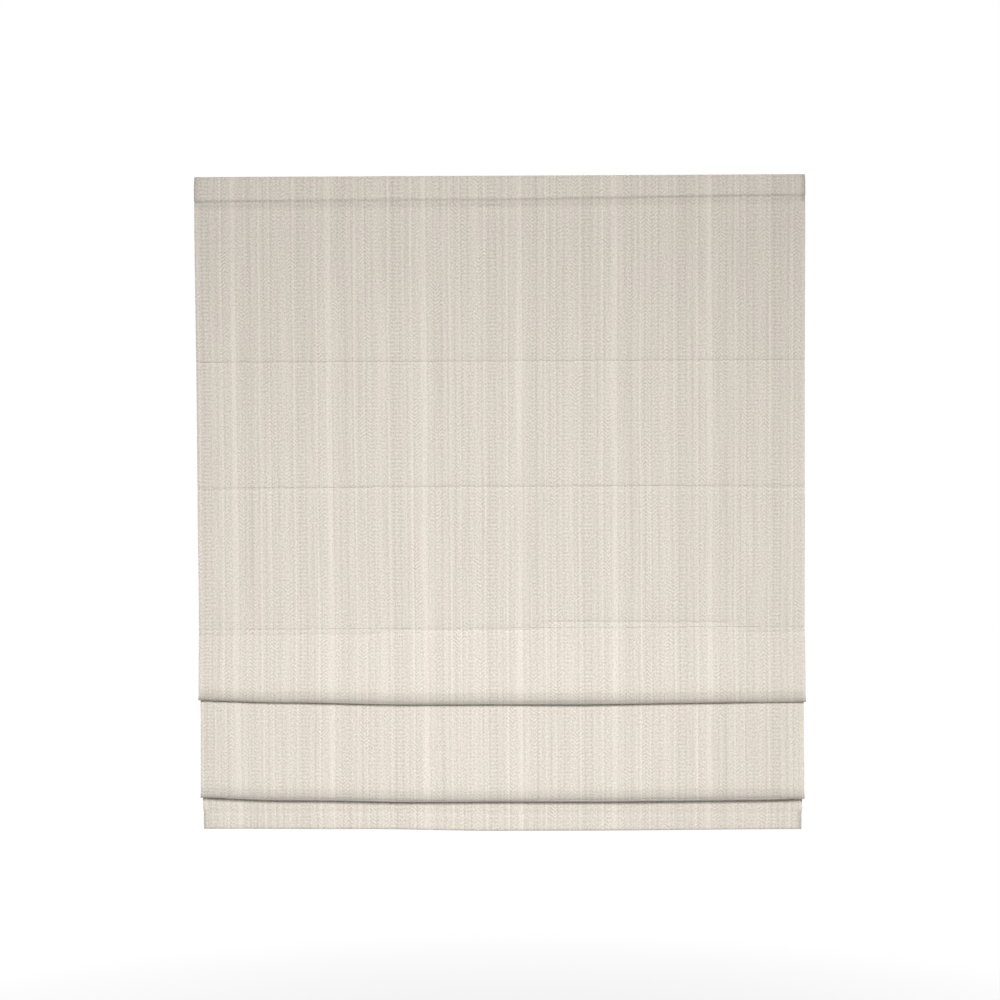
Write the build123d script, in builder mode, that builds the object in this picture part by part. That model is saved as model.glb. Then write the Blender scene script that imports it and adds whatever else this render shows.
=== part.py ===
from build123d import *
import os
from math import atan2, cos, sin

# Roman blind, hung from a headrail and partly raised, in millimetres.
# X runs along the width, -Y faces the room and +Z is up. The origin is the centre of the
# pattern of screw holes in the two brackets, on the plane where they meet the ceiling.

# Driving sizes of the blind
blind_width = 838.0
header_drop = 32.0  # from the top edge to the stitched foot of the header
rib_gaps = (253.5, 173.0, 195.0, 123.75, 294.5)  # cloth from the top edge to rib 1, then rib to rib
skirt_length = 179.25  # cloth from the last rib to the bottom edge
rib_setbacks = (13.0, 15.0, 17.5)  # how far ribs 1 to 3 hang behind the header
skirt_setback = 1.4  # how far the hem hangs behind rib 5
shown_gap_4 = 83.25  # drop from rib 3 to rib 4, partly gathered
stack_gap = 0.85  # between a rib's pocket and the lining over the next rib, fully gathered
nest_step = 5.5  # how far back a rib moves as its pleat gathers behind the one above

# Cloth
fabric_thickness = 0.8
lining_thickness = 0.4
side_hem_width = 38.0
lining_inset = 20.0  # from the blind's side edge to the lining's edge
lining_gap = 0.05
header_turn = 1.2  # between the middle lines of the header's two layers
header_turn_radius = 0.57
top_gap = 0.2  # from the ceiling to the cloth's top edge
hem_stitch_gap = 4.0  # from a turned edge to where the side hems and the lining stop
lip_depth = 8.0  # between the middle lines of the two layers at a pleat's rounded foot
lip_radius = 3.4
crown_depth = 3.1  # between the middle lines of the two layers at the fold over a rib
crown_radius = 1.2
hem_depth = 5.0
stack_bulge = 1.3  # how far the cloth below rib 4 leans forward over rib 5
hem_turn_radius = 2.2
hem_return = 22.0
soft_bend_radius = 30.0

# Headrail: a folded channel, open at the top, with two lips turned in
rail_front_y = -24.0
rail_depth = 38.0
rail_height = 28.0
rail_top_z = -4.0
rail_wall = 1.2
rail_lip = 6.0
rail_bend = 1.6
rail_end_inset = 4.0  # from the blind's side edge to the rail's end
cap_plate = 2.0
cap_chamfer = 0.5
cap_tongue = 9.0
cap_tongue_wall = 1.6
cap_fit = 0.15

# Hook and loop tapes between the rail's front and the header
tape_height = 25.0
hook_thickness = 1.3
loop_thickness = 1.2
tape_inset = 3.0

# Brackets
bracket_spacing = 600.0
bracket_width = 26.0
bracket_plate = 2.0
screw_spacing_y = 26.0
screw_hole_radius = 2.25
countersink_radius = 3.1
plate_margin_y = 6.5
hook_leg = 2.0
hook_clearance = 0.4
hook_bend = 0.8
hook_width = 18.2
bracket_corner = 4.3
foot_reach = 4.6
cam_thickness = 1.8
cam_gap = 0.1
cam_hub_radius = 5.0
cam_toe_reach = 10.0
cam_toe_width = 8.0
cam_toe_corner = 3.2
cam_handle_length = 30.0
cam_handle_width = 9.0
cam_pivot_y = 2.0
rivet_radius = 2.0
rivet_head_radius = 3.4
rivet_head = 0.8
running_gap = 0.05

# Spring motor in the rail
motor_length = 132.0
motor_depth = 30.0
motor_height = 17.0
motor_cover = 2.2
motor_middle_x = 125.0
motor_corner = 14.9
motor_foot_chamfer = 1.0
lid_round = 0.7
eyelet_wall = 1.2
screw_end_gap = 0.5
motor_drums = 4
drum_ring_radius = 12.0
drum_ring_width = 1.6
drum_ring_height = 1.0
motor_screw_radius = 1.5
motor_screw_head = 2.6
motor_screw_head_height = 1.2
motor_screw_length = 7.0
eyelet_depth = 5.0

# Lift cords and their guides
cord_radius = 0.7
cord_side_inset = 79.0  # from the blind's side edge to the outer cords
cord_top_y = -2.6
cord_foot_y = 7.6
cord_run_height = 10.8  # from the rail's floor to the cords' run along it
cord_lane_y = -13.0  # where the left cord enters the motor, clear of the middle guide
guide_pin_radius = 3.0
guide_clearance = 0.05
guide_length = 26.0
guide_width = 18.0
guide_base = 1.6
guide_cheek = 1.8
cheek_foot = 15.6
cheek_over_pin = 1.8
guide_slot = 3.4
guide_bush_radius = 4.0
guide_bush_drop = 1.4
guide_bore_radius = 1.6

# Ribs: a rod in a pocket sewn across the lining, with three rings
pocket_height = 13.0
pocket_wall = 0.45
pocket_seam = 1.2
stitch_drop = 0.5  # from the stitch line to the pocket's top
seat_gap = 0.06
seam_opening = 0.3
rod_fit = 0.1
pocket_inset = 27.0
rod_radius = 2.0
rod_inset = 21.0
rod_tip = 1.2
ring_wire = 1.1
ring_radius = 5.4  # middle of the wire

# Bottom bar and cord orbs
bar_height = 16.0
bar_thickness = 3.0
bar_inset = 12.0
bar_edge = 1.2
bar_lift = 1.0
cap_length = 14.0
cap_wall = 0.6
orb_radius = 5.6
orb_height = 13.0
orb_neck_radius = 2.6
orb_belly_drop = 8.0
orb_bore_depth = 7.8
orb_gap = 0.6
orb_bore_clearance = 0.15

os.makedirs("parts", exist_ok=True)


# Places worked out from the sizes
half_width = blind_width / 2
rail_back_y = rail_front_y + rail_depth
rail_bottom_z = rail_top_z - rail_height
rail_mid_y = rail_front_y + rail_depth / 2
rail_mid_z = rail_top_z - rail_height / 2
rail_length = blind_width - 2 * rail_end_inset
rail_floor_z = rail_bottom_z + rail_wall
cord_run_z = rail_floor_z + cord_run_height
lip_under_z = rail_top_z - rail_wall
slot_front_y = rail_front_y + rail_lip
slot_back_y = rail_back_y - rail_lip
cord_xs = (-(half_width - cord_side_inset), 0.0, half_width - cord_side_inset)
bracket_xs = (-bracket_spacing / 2, bracket_spacing / 2)

# Layers, measured back from the face fabric's middle line
middle = fabric_thickness / 2
lining_near = fabric_thickness * 1.5 + lining_gap
lining_far = lining_near + lining_thickness

# Heights of the ribs and of the two folded lips. Fully gathered, a rib hangs just clear of
# the next rib's fold.
stack_pitch = stitch_drop + pocket_height + lining_far + stack_gap
rib_z = [-rib_gaps[0], -(rib_gaps[0] + rib_gaps[1]), -(rib_gaps[0] + rib_gaps[1] + rib_gaps[2])]
rib_z.append(rib_z[2] - shown_gap_4)
rib_z.append(rib_z[3] - stack_pitch)
lip_a_z = rib_z[2] - (rib_gaps[3] + shown_gap_4) / 2
lip_b_z = rib_z[3] - (rib_gaps[4] + stack_pitch) / 2
hem_z = rib_z[4] - skirt_length

# Depths of the face fabric's middle line
tape_back_y = rail_front_y - hook_thickness - loop_thickness
return_y = tape_back_y - fabric_thickness / 2
header_y = return_y - header_turn
gathered_4 = (rib_gaps[3] - shown_gap_4) / (rib_gaps[3] - stack_pitch)
rib_y = [header_y + setback for setback in rib_setbacks]
rib_y.append(rib_y[2] + gathered_4 * nest_step)
rib_y.append(rib_y[3] + nest_step)
back_a_y = rib_y[3] - crown_depth
front_a_y = back_a_y - lip_depth
back_b_y = rib_y[4] - crown_depth
front_b_y = back_b_y - lip_depth
bulge_b_y = rib_y[3] - stack_bulge
hem_front_y = rib_y[4] + skirt_setback
hem_back_y = hem_front_y + hem_depth

# The cloth's middle line in the YZ plane, from the foot of the header to the top of the
# bottom hem, as corner points and the radius at each corner between its ends
drop_points = [
    (header_y, -header_drop - hem_stitch_gap),
    (rib_y[0], rib_z[0]),
    (rib_y[1], rib_z[1]),
    (rib_y[2], rib_z[2]),
    (front_a_y, lip_a_z + middle),
    (back_a_y, lip_a_z + middle),
    (back_a_y, rib_z[3]),
    (rib_y[3], rib_z[3]),
    (bulge_b_y, rib_z[4]),
    (front_b_y, lip_b_z + middle),
    (back_b_y, lip_b_z + middle),
    (back_b_y, rib_z[4]),
    (rib_y[4], rib_z[4]),
    (hem_front_y, hem_z + hem_return + hem_stitch_gap),
]
drop_radii = [
    soft_bend_radius,
    soft_bend_radius,
    soft_bend_radius,
    lip_radius,
    lip_radius,
    crown_radius,
    crown_radius,
    crown_radius * 4,
    lip_radius,
    lip_radius,
    crown_radius,
    crown_radius,
]
face_points = [
    (return_y, -header_drop),
    (return_y, -middle - top_gap),
    (header_y, -middle - top_gap),
    *drop_points,
    (hem_front_y, hem_z + middle),
    (hem_back_y, hem_z + middle),
    (hem_back_y, hem_z + hem_return),
]
face_radii = [
    header_turn_radius,
    header_turn_radius,
    soft_bend_radius,
    *drop_radii,
    soft_bend_radius,
    hem_turn_radius,
    hem_turn_radius,
]


def save(part, name):
    """Names a finished piece and writes it."""
    part.label = name
    export_step(part, f"parts/{name}.step")


def shifted(points, distance):
    """The same corners moved sideways by a distance to the left of the way the line runs."""
    lines = [(Vector(*a), (Vector(*b) - Vector(*a)).normalized()) for a, b in zip(points, points[1:])]
    lines = [(start + Vector(-way.Y, way.X) * distance, way) for start, way in lines]
    last_way = lines[-1][1]
    corners = [lines[0][0]]
    for (p, u), (q, v) in zip(lines, lines[1:]):
        turn = u.X * v.Y - u.Y * v.X
        along = ((q.X - p.X) * v.Y - (q.Y - p.Y) * v.X) / turn
        corners.append(p + u * along)
    corners.append(Vector(*points[-1]) + Vector(-last_way.Y, last_way.X) * distance)
    return corners


def left_turns(points):
    """For each corner between the ends, 1 where the line turns left and -1 where it turns right."""
    turns = []
    for a, b, c in zip(points, points[1:], points[2:]):
        turn = (b[0] - a[0]) * (c[1] - b[1]) - (b[1] - a[1]) * (c[0] - b[0])
        turns.append(1 if turn > 0 else -1)
    return turns


def cloth_profile(points, radii, near, far):
    """A strip of cloth seen from its side: the space between two lines beside the middle line.

    Distances are to the left of a line that runs down, so they grow towards the lining."""
    turns = left_turns(points)
    edges = []
    for distance in (near, far):
        corners = [(p.X, p.Y) for p in shifted(points, distance)]
        bends = [radius - turn * distance for radius, turn in zip(radii, turns)]
        edges.append((corners, bends))
    (near_points, near_bends), (far_points, far_bends) = edges
    FilletPolyline(*near_points, radius=near_bends)
    FilletPolyline(*far_points, radius=far_bends)
    Line(near_points[0], far_points[0])
    Line(near_points[-1], far_points[-1])


# Headrail
inner_depth = rail_depth - 2 * rail_wall
inner_height = rail_height - 2 * rail_wall
with BuildPart() as headrail:
    with BuildSketch(Plane.YZ):
        with Locations((rail_mid_y, rail_mid_z)):
            RectangleRounded(rail_depth, rail_height, rail_bend)
            RectangleRounded(inner_depth, inner_height, rail_bend - rail_wall, mode=Mode.SUBTRACT)
        with Locations((rail_mid_y, rail_top_z)):
            Rectangle(slot_back_y - slot_front_y, 4 * rail_wall, mode=Mode.SUBTRACT)
    extrude(amount=rail_length / 2, both=True)
    with Locations(*[(x, cord_top_y, rail_bottom_z) for x in cord_xs]):
        Cylinder(guide_bush_radius + cap_fit, 4 * rail_wall, mode=Mode.SUBTRACT)
save(headrail.part, "headrail")

# End caps: a plate that covers the rail's end, with a tongue that follows its inside
tongue_depth = inner_depth - 2 * cap_fit
tongue_height = inner_height - 2 * cap_fit
hollow_depth = tongue_depth - 2 * cap_tongue_wall
hollow_height = tongue_height - 2 * cap_tongue_wall
for side, name in ((-1, "left"), (1, "right")):
    end_plane = Plane(origin=(side * rail_length / 2, 0, 0), x_dir=(0, side, 0), z_dir=(side, 0, 0))
    with BuildPart() as end_cap:
        with BuildSketch(end_plane):
            with Locations((side * rail_mid_y, rail_mid_z)):
                RectangleRounded(rail_depth, rail_height, rail_bend)
        extrude(amount=cap_plate)
        outer_edges = end_cap.edges().group_by(Axis.X)[-1 if side > 0 else 0]
        chamfer(outer_edges, cap_chamfer)
        with BuildSketch(end_plane):
            with Locations((side * rail_mid_y, rail_mid_z)):
                Rectangle(tongue_depth, tongue_height)
                Rectangle(hollow_depth, hollow_height, mode=Mode.SUBTRACT)
            with Locations((side * rail_mid_y, lip_under_z)):
                Rectangle(slot_back_y - slot_front_y, 3 * cap_tongue_wall, mode=Mode.SUBTRACT)
        extrude(amount=-cap_tongue)
    save(end_cap.part, f"rail_end_cap_{name}")

# Hook tape on the rail's front and loop tape on the back of the header
tape_mid_z = rail_mid_z
for name, near_y, thickness, height in (
    ("hook_tape", rail_front_y, hook_thickness, tape_height),
    ("loop_tape", rail_front_y - hook_thickness, loop_thickness, tape_height),
):
    with BuildPart() as tape:
        with BuildSketch(Plane.XZ.offset(-near_y)):
            with Locations((0, tape_mid_z)):
                RectangleRounded(rail_length - 2 * tape_inset, height, thickness)
        extrude(amount=thickness)
    save(tape.part, name)

# Brackets: a plate under the ceiling with a hooked leg that holds the rail's front lip
plate_front_y = -screw_spacing_y / 2 - plate_margin_y
plate_back_y = screw_spacing_y / 2 + plate_margin_y
leg_front_y = slot_front_y + hook_clearance
foot_top_z = lip_under_z
hole_ys = (-screw_spacing_y / 2, screw_spacing_y / 2)
for bracket_x, name in zip(bracket_xs, ("left", "right")):
    with BuildPart() as bracket:
        with BuildSketch(Plane.XY):
            with Locations((bracket_x, (plate_front_y + plate_back_y) / 2)):
                RectangleRounded(bracket_width, plate_back_y - plate_front_y, bracket_corner)
        extrude(amount=-bracket_plate)
        with BuildSketch(Plane.YZ.offset(bracket_x)):
            with BuildLine():
                Polyline(
                    (leg_front_y, -bracket_plate),
                    (leg_front_y + hook_leg, -bracket_plate),
                    (leg_front_y + hook_leg, foot_top_z - hook_leg),
                    (leg_front_y - foot_reach, foot_top_z - hook_leg),
                    (leg_front_y - foot_reach, foot_top_z),
                    (leg_front_y, foot_top_z),
                    close=True,
                )
            make_face()
        extrude(amount=hook_width / 2, both=True)
        hook_corner = bracket.edges().filter_by(Axis.X).group_by(Axis.Z)[0].sort_by(Axis.Y)[-1]
        fillet(hook_corner, hook_bend)
        with Locations(*[(bracket_x, y, 0) for y in hole_ys]):
            Cylinder(screw_hole_radius, 4 * bracket_plate, mode=Mode.SUBTRACT)
        countersink_depth = countersink_radius - screw_hole_radius
        with Locations(*[(bracket_x, y, -bracket_plate + countersink_depth / 2) for y in hole_ys]):
            Cone(countersink_radius, screw_hole_radius, countersink_depth, mode=Mode.SUBTRACT)
        with Locations((bracket_x, cam_pivot_y, 0)):
            Cylinder(rivet_radius + running_gap, 4 * bracket_plate, mode=Mode.SUBTRACT)
            Cylinder(rivet_head_radius + cap_fit, 2 * (rivet_head + cap_fit), mode=Mode.SUBTRACT)
    save(bracket.part, f"bracket_{name}")

# Cam levers: a handle above the rail's lip, a hub through its slot and a toe under the lip
handle_top_z = -bracket_plate - cam_gap
handle_foot_z = rail_top_z + cam_gap
handle_thickness = handle_top_z - handle_foot_z
toe_top_z = lip_under_z - cam_gap
for bracket_x, name in zip(bracket_xs, ("left", "right")):
    with BuildPart() as cam:
        with BuildSketch(Plane.XY.offset(handle_foot_z)):
            with BuildLine():
                tip_x = bracket_x + cam_handle_length - cam_handle_width / 2
                ThreePointArc(
                    (bracket_x, cam_pivot_y + cam_hub_radius),
                    (bracket_x - cam_hub_radius, cam_pivot_y),
                    (bracket_x, cam_pivot_y - cam_hub_radius),
                )
                Line(
                    (bracket_x, cam_pivot_y - cam_hub_radius),
                    (tip_x, cam_pivot_y - cam_handle_width / 2),
                )
                ThreePointArc(
                    (tip_x, cam_pivot_y - cam_handle_width / 2),
                    (tip_x + cam_handle_width / 2, cam_pivot_y),
                    (tip_x, cam_pivot_y + cam_handle_width / 2),
                )
                Line(
                    (tip_x, cam_pivot_y + cam_handle_width / 2),
                    (bracket_x, cam_pivot_y + cam_hub_radius),
                )
            make_face()
        extrude(amount=handle_thickness)
        with BuildSketch(Plane.XY.offset(toe_top_z - cam_thickness)):
            with Locations((bracket_x, cam_pivot_y)):
                Circle(cam_hub_radius)
        extrude(amount=handle_foot_z - toe_top_z + cam_thickness)
        with BuildSketch(Plane.XY.offset(toe_top_z - cam_thickness)):
            with Locations((bracket_x, cam_pivot_y + cam_toe_reach / 2)):
                Rectangle(cam_toe_width, cam_toe_reach)
        extrude(amount=cam_thickness)
        toe_tip = cam.edges().filter_by(Axis.Z).group_by(Axis.Y)[-1]
        fillet(toe_tip, cam_toe_corner)
        with Locations((bracket_x, cam_pivot_y, toe_top_z)):
            Cylinder(rivet_radius + running_gap, 6 * cam_thickness, mode=Mode.SUBTRACT)
    save(cam.part, f"cam_lever_{name}")
    with BuildPart() as rivet:
        rivet_foot_z = toe_top_z - cam_thickness - cam_gap - rivet_head
        with BuildSketch(Plane.XZ.offset(-cam_pivot_y)):
            with BuildLine():
                Polyline(
                    (bracket_x, -running_gap),
                    (bracket_x + rivet_head_radius, -running_gap),
                    (bracket_x + rivet_head_radius, -running_gap - rivet_head),
                    (bracket_x + rivet_radius, -running_gap - rivet_head),
                    (bracket_x + rivet_radius, rivet_foot_z + rivet_head),
                    (bracket_x + rivet_head_radius, rivet_foot_z + rivet_head),
                    (bracket_x + rivet_head_radius, rivet_foot_z),
                    (bracket_x, rivet_foot_z),
                    close=True,
                )
            make_face()
        revolve(axis=Axis((bracket_x, cam_pivot_y, 0), (0, 0, 1)))
    save(rivet.part, f"cam_rivet_{name}")

# Spring motor: a closed case with its drums in a row, a screwed cover and cord eyelets
motor_foot_z = rail_floor_z
motor_top_z = motor_foot_z + motor_height
drum_pitch = (motor_length - motor_depth) / (motor_drums - 1)
with BuildPart() as motor_case:
    with BuildSketch(Plane.XY.offset(motor_foot_z)):
        with Locations((motor_middle_x, rail_mid_y)):
            RectangleRounded(motor_length, motor_depth, motor_corner)
    extrude(amount=motor_height)
    case_feet = motor_case.edges().group_by(Axis.Z)[0]
    chamfer(case_feet, motor_foot_chamfer)
    eyelets = (
        (-1, cord_top_y),
        (-1, cord_lane_y),
        (1, cord_top_y),
    )
    for side, eyelet_y in eyelets:
        mouth_x = motor_middle_x + side * motor_length / 2
        with BuildSketch(Plane(origin=(mouth_x, eyelet_y, cord_run_z), z_dir=(side, 0, 0))):
            Circle(guide_bore_radius + eyelet_wall)
        extrude(amount=-motor_corner)
    for side, eyelet_y in eyelets:
        mouth_x = motor_middle_x + side * motor_length / 2
        with BuildSketch(Plane(origin=(mouth_x, eyelet_y, cord_run_z), z_dir=(side, 0, 0))):
            Circle(guide_bore_radius)
        extrude(amount=-eyelet_depth, mode=Mode.SUBTRACT)
    with Locations(*[(motor_middle_x + s * drum_pitch, rail_mid_y, motor_top_z) for s in (-1, 0, 1)]):
        Cylinder(motor_screw_radius, 2 * motor_screw_length, mode=Mode.SUBTRACT)
save(motor_case.part, "motor_case")

with BuildPart() as motor_lid:
    with BuildSketch(Plane.XY.offset(motor_top_z)):
        with Locations((motor_middle_x, rail_mid_y)):
            RectangleRounded(motor_length, motor_depth, motor_corner)
    extrude(amount=motor_cover)
    lid_rim = motor_lid.edges().group_by(Axis.Z)[-1]
    fillet(lid_rim, lid_round)
    with BuildSketch(Plane.XY.offset(motor_top_z + motor_cover)):
        with Locations((motor_middle_x, rail_mid_y)):
            with GridLocations(drum_pitch, 1, motor_drums, 1):
                Circle(drum_ring_radius)
                Circle(drum_ring_radius - drum_ring_width, mode=Mode.SUBTRACT)
    extrude(amount=drum_ring_height)
    with Locations(*[(motor_middle_x + s * drum_pitch, rail_mid_y, motor_top_z) for s in (-1, 0, 1)]):
        Cylinder(motor_screw_radius, 8 * motor_cover, mode=Mode.SUBTRACT)
save(motor_lid.part, "motor_cover")

with BuildPart() as motor_screws:
    head_foot_z = motor_top_z + motor_cover
    with BuildSketch(Plane.XY.offset(head_foot_z)):
        with Locations((motor_middle_x, rail_mid_y)):
            with GridLocations(drum_pitch, 1, 3, 1):
                Circle(motor_screw_head)
    extrude(amount=motor_screw_head_height)
    head_rims = motor_screws.edges().group_by(Axis.Z)[-1]
    fillet(head_rims, motor_screw_head_height / 2)
    with BuildSketch(Plane.XY.offset(head_foot_z)):
        with Locations((motor_middle_x, rail_mid_y)):
            with GridLocations(drum_pitch, 1, 3, 1):
                Circle(motor_screw_radius)
    extrude(amount=-(motor_cover + motor_screw_length - screw_end_gap))
save(motor_screws.part, "motor_screws")

# Cord guides: a moulded plate with a bush through the rail's floor, and a bar that turns the cord
pin_drop = guide_pin_radius + cord_radius
pin_z = cord_run_z - pin_drop
guide_side = [1, 1, -1]
for cord_x, toward, name in zip(cord_xs, guide_side, ("left", "center", "right")):
    pin_x = cord_x + toward * pin_drop
    cheek_y = guide_slot / 2 + guide_cheek / 2
    with BuildPart() as guide:
        with BuildSketch(Plane.XY.offset(rail_floor_z)):
            with Locations((cord_x, cord_top_y)):
                RectangleRounded(guide_length, guide_width, guide_cheek)
        extrude(amount=guide_base)
        for cheek_side in (-1, 1):
            cheek_plane = Plane.XZ.offset(-(cord_top_y + cheek_side * cheek_y) - guide_cheek / 2)
            with BuildSketch(cheek_plane):
                with BuildLine():
                    cheek_top = pin_z + cheek_over_pin
                    Polyline(
                        (pin_x - cheek_foot / 2, rail_floor_z + guide_base),
                        (pin_x - guide_pin_radius, cheek_top),
                        (pin_x + guide_pin_radius, cheek_top),
                        (pin_x + cheek_foot / 2, rail_floor_z + guide_base),
                        close=True,
                    )
                make_face()
            extrude(amount=guide_cheek)
        with BuildSketch(Plane.XZ.offset(-cord_top_y)):
            with Locations((pin_x, pin_z)):
                Circle(guide_pin_radius - guide_clearance)
        extrude(amount=guide_slot / 2 + guide_cheek, both=True)
        with BuildSketch(Plane.XY.offset(rail_floor_z)):
            with Locations((cord_x, cord_top_y)):
                Circle(guide_bush_radius)
        extrude(amount=-(rail_wall + guide_bush_drop))
        with Locations((cord_x, cord_top_y, rail_bottom_z)):
            Cylinder(guide_bore_radius, 2 * (rail_wall + guide_base + guide_bush_drop), mode=Mode.SUBTRACT)
    save(guide.part, f"cord_guide_{name}")

# Face fabric: one length of cloth, turned back behind the header, hanging over the ribs in
# two pleats and turned up round the bottom bar, with a doubled hem down each side
with BuildPart() as face_fabric:
    with BuildSketch(Plane.YZ):
        with BuildLine():
            cloth_profile(face_points, face_radii, -middle, middle)
        make_face()
    extrude(amount=half_width, both=True)
    with BuildSketch(Plane.YZ):
        with BuildLine():
            cloth_profile(drop_points, drop_radii, middle / 2, middle * 3)
        make_face()
    extrude(amount=half_width, both=True)
    with BuildSketch(Plane.YZ):
        with BuildLine():
            cloth_profile(drop_points, drop_radii, middle, lining_near)
        make_face()
    extrude(amount=half_width - side_hem_width, both=True, mode=Mode.SUBTRACT)
save(face_fabric.part, "face_fabric")

# Lining, over the side hems
with BuildPart() as lining:
    with BuildSketch(Plane.YZ):
        with BuildLine():
            cloth_profile(drop_points, drop_radii, lining_near, lining_far)
        make_face()
    extrude(amount=half_width - lining_inset, both=True)
save(lining.part, "lining")

# Ribs: each pocket hangs from its stitch line, against the lining where that leans back
pocket_radius = rod_radius + rod_fit + pocket_wall
pocket_middle = pocket_height / 2 + stitch_drop
seam_reach = pocket_height / 2 - pocket_seam / 2
void_reach = pocket_height / 2 - pocket_seam * 2
ring_depth = lining_far + seat_gap + 2 * pocket_radius + ring_radius + ring_wire
for number, (path_y, stitch_z) in enumerate(zip(rib_y, rib_z), start=1):
    below_y, below_z = drop_points[drop_points.index((path_y, stitch_z)) + 1]
    lean = max(0.0, atan2(below_y - path_y, stitch_z - below_z))
    rib_plane = Plane(
        origin=(0, path_y, stitch_z), x_dir=(0, cos(lean), sin(lean)), z_dir=(1, 0, 0)
    )
    rod_middle = (lining_far + seat_gap + pocket_radius, -pocket_middle)
    seam_depth = lining_far + seat_gap + pocket_seam / 2
    with BuildPart() as pocket:
        with BuildSketch(rib_plane, mode=Mode.PRIVATE) as void:
            with Locations(rod_middle):
                Circle(rod_radius + rod_fit)
            with Locations(*[(seam_depth, rod_middle[1] + s * void_reach) for s in (-1, 1)]):
                Rectangle(seam_opening, seam_opening)
            make_hull()
        with BuildSketch(rib_plane):
            with Locations(rod_middle):
                Circle(pocket_radius)
            with Locations(*[(seam_depth, rod_middle[1] + s * seam_reach) for s in (-1, 1)]):
                Rectangle(pocket_seam, pocket_seam)
            make_hull()
        extrude(amount=half_width - pocket_inset, both=True)
        extrude(void.sketch, amount=half_width - pocket_inset, both=True, mode=Mode.SUBTRACT)
    save(pocket.part, f"rib_pocket_{number}")
    with BuildPart() as rod:
        with BuildSketch(rib_plane):
            with Locations(rod_middle):
                Circle(rod_radius)
        extrude(amount=half_width - rod_inset, both=True)
        fillet(rod.edges().filter_by(GeomType.CIRCLE), rod_tip)
    save(rod.part, f"rib_rod_{number}")
    ring_middle = rib_plane.from_local_coords((ring_depth, -pocket_middle, 0))
    with BuildPart() as rings:
        with Locations(*[(x, ring_middle.Y, ring_middle.Z) for x in cord_xs]):
            Torus(ring_radius, ring_wire)
    save(rings.part, f"rib_rings_{number}")

# Bottom bar in the hem, with a cap on each end
bar_y = (hem_front_y + hem_back_y) / 2
bar_mid_z = hem_z + fabric_thickness + bar_lift + cap_wall + bar_height / 2
bar_half = half_width - bar_inset
with BuildPart() as bottom_bar:
    with BuildSketch(Plane.YZ):
        with Locations((bar_y, bar_mid_z)):
            RectangleRounded(bar_thickness - 2 * cap_wall, bar_height, bar_edge / 2)
    extrude(amount=bar_half, both=True)
save(bottom_bar.part, "bottom_bar")
for side, name in ((-1, "left"), (1, "right")):
    cap_plane = Plane(origin=(side * (bar_half - cap_length), 0, 0), x_dir=(0, side, 0), z_dir=(side, 0, 0))
    with BuildPart() as bar_cap:
        with BuildSketch(cap_plane):
            with Locations((side * bar_y, bar_mid_z)):
                RectangleRounded(bar_thickness, bar_height + 2 * cap_wall, bar_edge)
        extrude(amount=cap_length + 2 * cap_wall)
        with BuildSketch(cap_plane):
            with Locations((side * bar_y, bar_mid_z)):
                RectangleRounded(bar_thickness - 2 * cap_wall, bar_height, bar_edge / 2)
        extrude(amount=cap_length, mode=Mode.SUBTRACT)
    save(bar_cap.part, f"bar_cap_{name}")

# Lift cords: down through the rings to an orb under the last ring
last_ring_z = ring_middle.Z
orb_top_z = last_ring_z - ring_wire - orb_gap
cord_foot_z = orb_top_z - orb_bore_depth
motor_left_x = motor_middle_x - motor_length / 2 + eyelet_depth / 2
motor_right_x = motor_middle_x + motor_length / 2 - eyelet_depth / 2
cord_ends = ((motor_left_x, cord_lane_y), (motor_left_x, cord_top_y), (motor_right_x, cord_top_y))
for cord_x, (end_x, end_y), name in zip(cord_xs, cord_ends, ("left", "center", "right")):
    with BuildPart() as cord:
        with BuildLine() as route:
            FilletPolyline(
                (cord_x, cord_foot_y, cord_foot_z),
                (cord_x, cord_top_y, cord_run_z),
                (end_x, end_y, cord_run_z),
                radius=pin_drop,
            )
        with BuildSketch(Plane(origin=route.line @ 0, z_dir=route.line % 0)):
            Circle(cord_radius)
        sweep()
    save(cord.part, f"lift_cord_{name}")

# Cord orbs: a turned drop, bored for the cord
bore_depth = orb_bore_depth + orb_bore_clearance
with BuildPart() as cord_orbs:
    for cord_x in cord_xs:
        orb_plane = Plane(origin=(cord_x, cord_foot_y, orb_top_z), x_dir=(1, 0, 0), z_dir=(0, -1, 0))
        with BuildSketch(orb_plane):
            with BuildLine():
                Line((0, 0), (orb_neck_radius, 0))
                Spline(
                    (orb_neck_radius, 0),
                    (orb_radius, -orb_belly_drop),
                    (0, -orb_height),
                    tangents=((0.3, -1), (-1, 0)),
                )
                Line((0, -orb_height), (0, 0))
            make_face()
        revolve(axis=Axis((cord_x, cord_foot_y, 0), (0, 0, 1)))
    with Locations(*[(x, cord_foot_y, orb_top_z) for x in cord_xs]):
        Cylinder(cord_radius + orb_bore_clearance, 2 * bore_depth, mode=Mode.SUBTRACT)
save(cord_orbs.part, "cord_orbs")

lowered_drop = sum(rib_gaps) + skirt_length
print("drop as shown", round(-hem_z, 1), "drop when lowered", round(lowered_drop, 1))
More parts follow.
